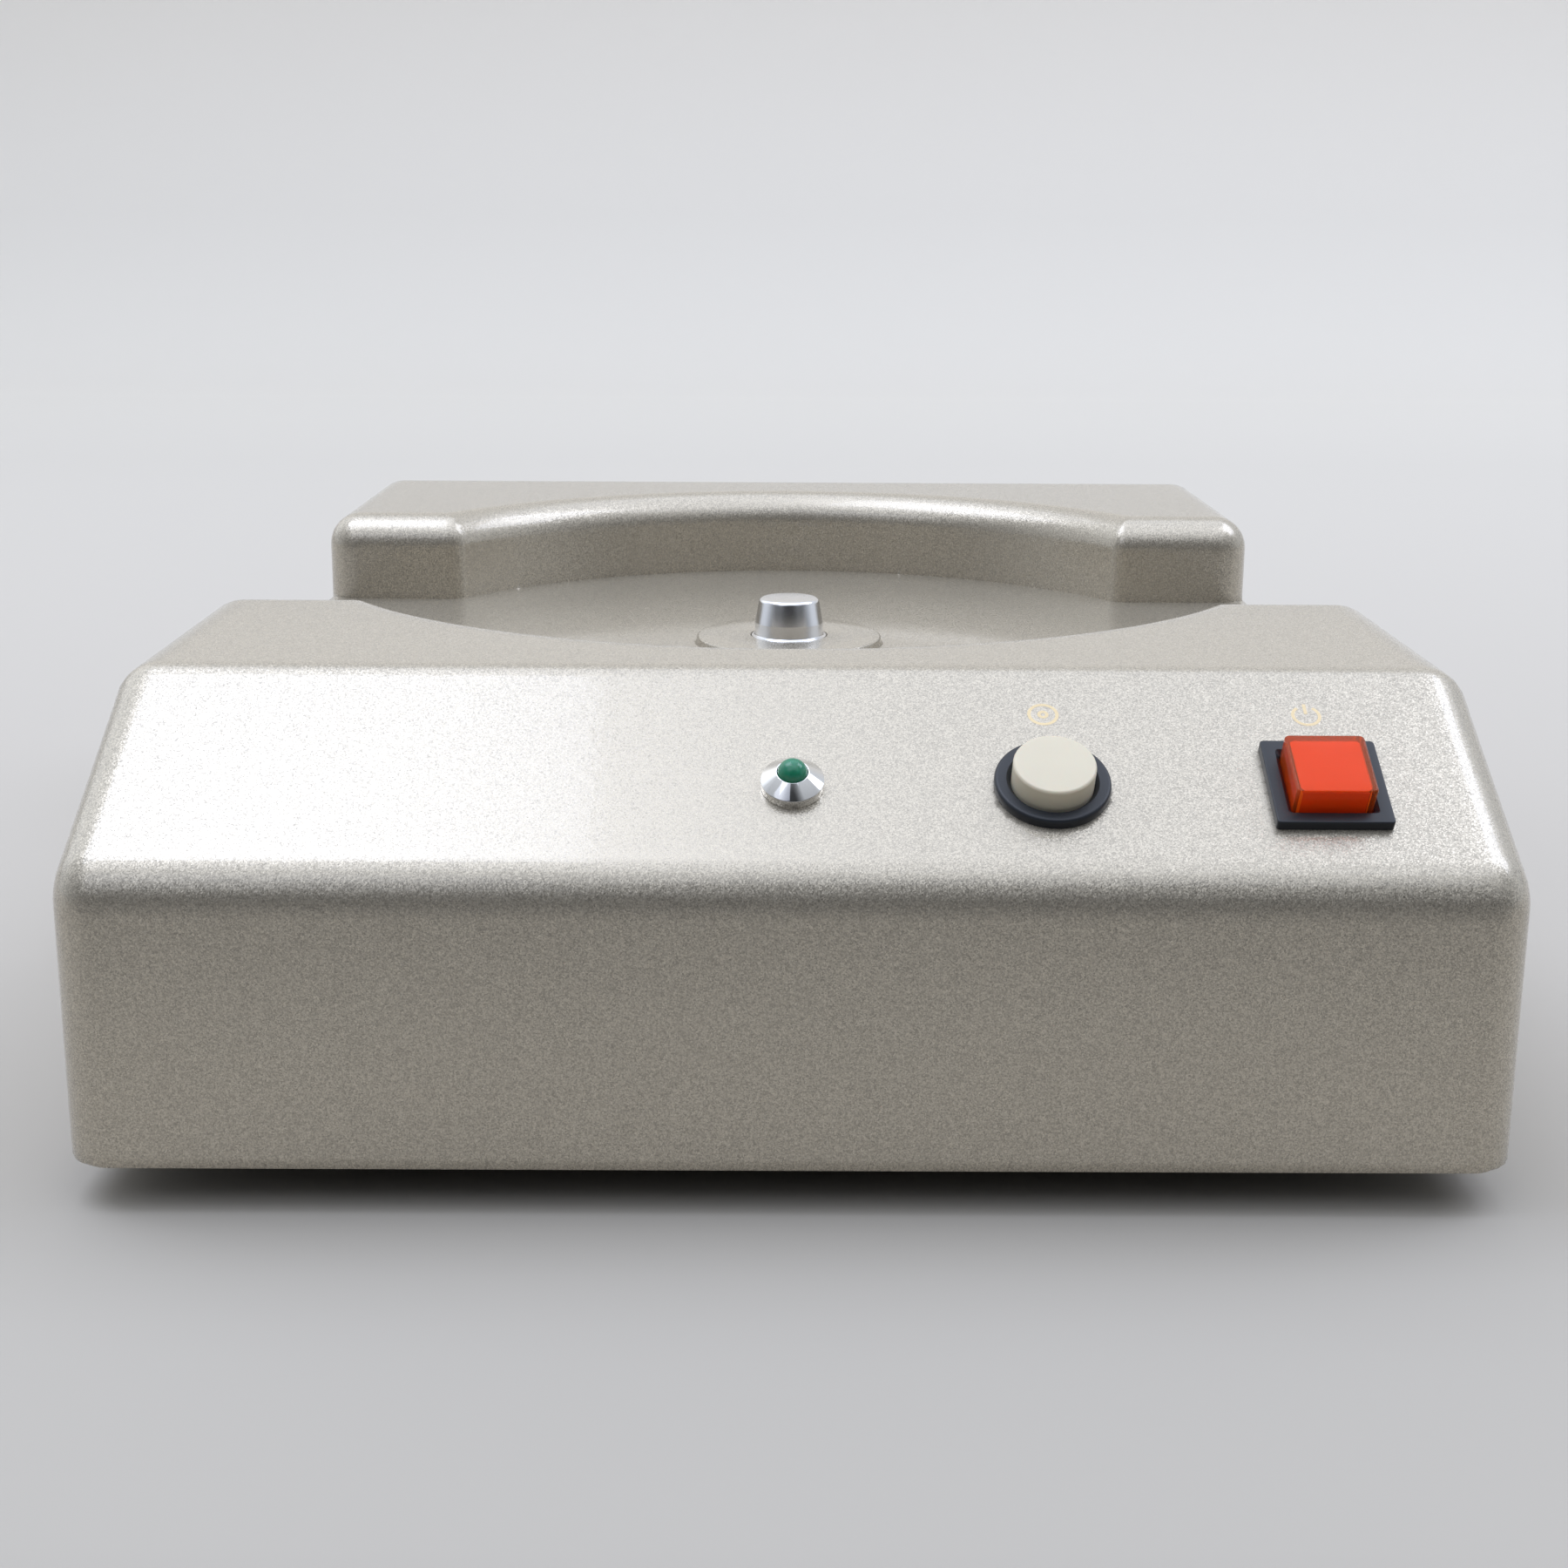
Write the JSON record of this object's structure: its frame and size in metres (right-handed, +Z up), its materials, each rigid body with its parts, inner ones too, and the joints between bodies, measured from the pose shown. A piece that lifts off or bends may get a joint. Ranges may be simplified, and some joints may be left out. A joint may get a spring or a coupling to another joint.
{
  "type": "disc demagnetizer",
  "caption": "Low tabletop disc demagnetizer: sloped panel with lamp, round and square push buttons, round disc recess with spindle and finger channel, coil and mains inlet.",
  "frame": {"origin": "on the ground under the middle of the part's box", "axes": "+Z up, -Y out of the front wall, +X to the right seen from the front"},
  "size_m": [0.1752, 0.225, 0.0607],
  "materials": {
    "case_paint": "champagne-silver metallic paint under clear coat",
    "base_black": "black powder coat",
    "black_screw": "black oxide",
    "rubber": "matt moulded rubber",
    "steel": "zinc plated",
    "spindle_metal": "polished",
    "chrome": "bright chrome",
    "lamp_green": "tinted clear resin",
    "switch_black": "moulded black plastic",
    "ivory": "moulded ivory plastic",
    "red_lens": "clear red plastic",
    "red_diffuser": "orange-red plastic",
    "brass_tags": "tinned brass",
    "bobbin": "natural nylon",
    "copper": "enamelled copper wire",
    "board": "green solder mask",
    "can_sleeve": "blue sleeve",
    "film_yellow": "yellow resin box",
    "sink_black": "black anodised",
    "epoxy_black": "black epoxy",
    "resistor_tan": "tan lacquer",
    "relay_white": "off-white plastic",
    "terminal_green": "green plastic",
    "lamination": "varnished steel laminations",
    "winding_tape": "yellow tape over copper",
    "inlet_black": "moulded black plastic",
    "fuse_glass": "glass tube with metal caps",
    "lead_brown": "brown insulation",
    "lead_red": "red insulation",
    "lead_white": "white insulation",
    "lead_green": "green insulation",
    "lead_copper": "varnished sleeve",
    "lead_yellow": "yellow insulation"
  },
  "bodies": {
    "case": {"top_shell": "case_paint", "base_plate": "base_black", "base_screws": "black_screw", "foot_front_left": "rubber", "foot_front_right": "rubber", "foot_rear_left": "rubber", "foot_rear_right": "rubber", "foot_screws": "steel", "foot_nuts": "steel", "disc_spindle": "spindle_metal", "spindle_washer": "steel", "spindle_nut": "steel", "led_bezel": "chrome", "led_nut": "steel", "led_lamp": "lamp_green", "erase_housing": "switch_black", "erase_nut": "switch_black", "erase_spring": "steel", "erase_terminals": "brass_tags", "power_housing": "switch_black", "power_spring": "steel", "power_terminals": "brass_tags", "coil_bobbin": "bobbin", "coil_winding": "copper", "coil_clips": "steel", "coil_screws": "steel", "control_board": "board", "board_standoffs": "brass_tags", "board_screws": "steel", "charge_capacitors": "can_sleeve", "film_capacitor": "film_yellow", "heat_sink": "sink_black", "thyristor": "epoxy_black", "control_ic": "epoxy_black", "board_resistors": "resistor_tan", "relay": "relay_white", "terminal_block": "terminal_green", "transformer_core": "lamination", "transformer_winding": "winding_tape", "transformer_bracket": "steel", "transformer_screws": "steel", "mains_inlet": "inlet_black", "inlet_pins": "brass_tags", "inlet_screws": "steel", "inlet_nuts": "steel", "mains_leads": "lead_brown", "switch_leads": "lead_red", "erase_leads": "lead_white", "led_leads": "lead_green", "coil_leads": "lead_copper", "transformer_leads": "lead_yellow"},
    "erase_button": {"erase_cap": "ivory", "erase_plunger": "switch_black"},
    "power_button": {"power_lens": "red_lens", "power_diffuser": "red_diffuser", "power_plunger": "switch_black"},
    "fuse_carrier": {"fuse_drawer": "inlet_black", "fuse": "fuse_glass"}
  },
  "joints": [
    {"name": "erase_press", "type": "slide", "parent": "case", "child": "erase_button", "axis": [0, 0.4906, -0.8714], "range_m": [0, 0.0022], "stiffness_N_per_m": 400, "springref_m": -0.003, "deforming": ["erase_spring"]},
    {"name": "power_press", "type": "slide", "parent": "case", "child": "power_button", "axis": [0, 0.4906, -0.8714], "range_m": [0, 0.002], "stiffness_N_per_m": 400, "springref_m": -0.003, "deforming": ["power_spring"]},
    {"name": "fuse_drawer_slide", "type": "slide", "parent": "case", "child": "fuse_carrier", "axis": [0, 1, 0], "range_m": [0, 0.02]}
  ]
}
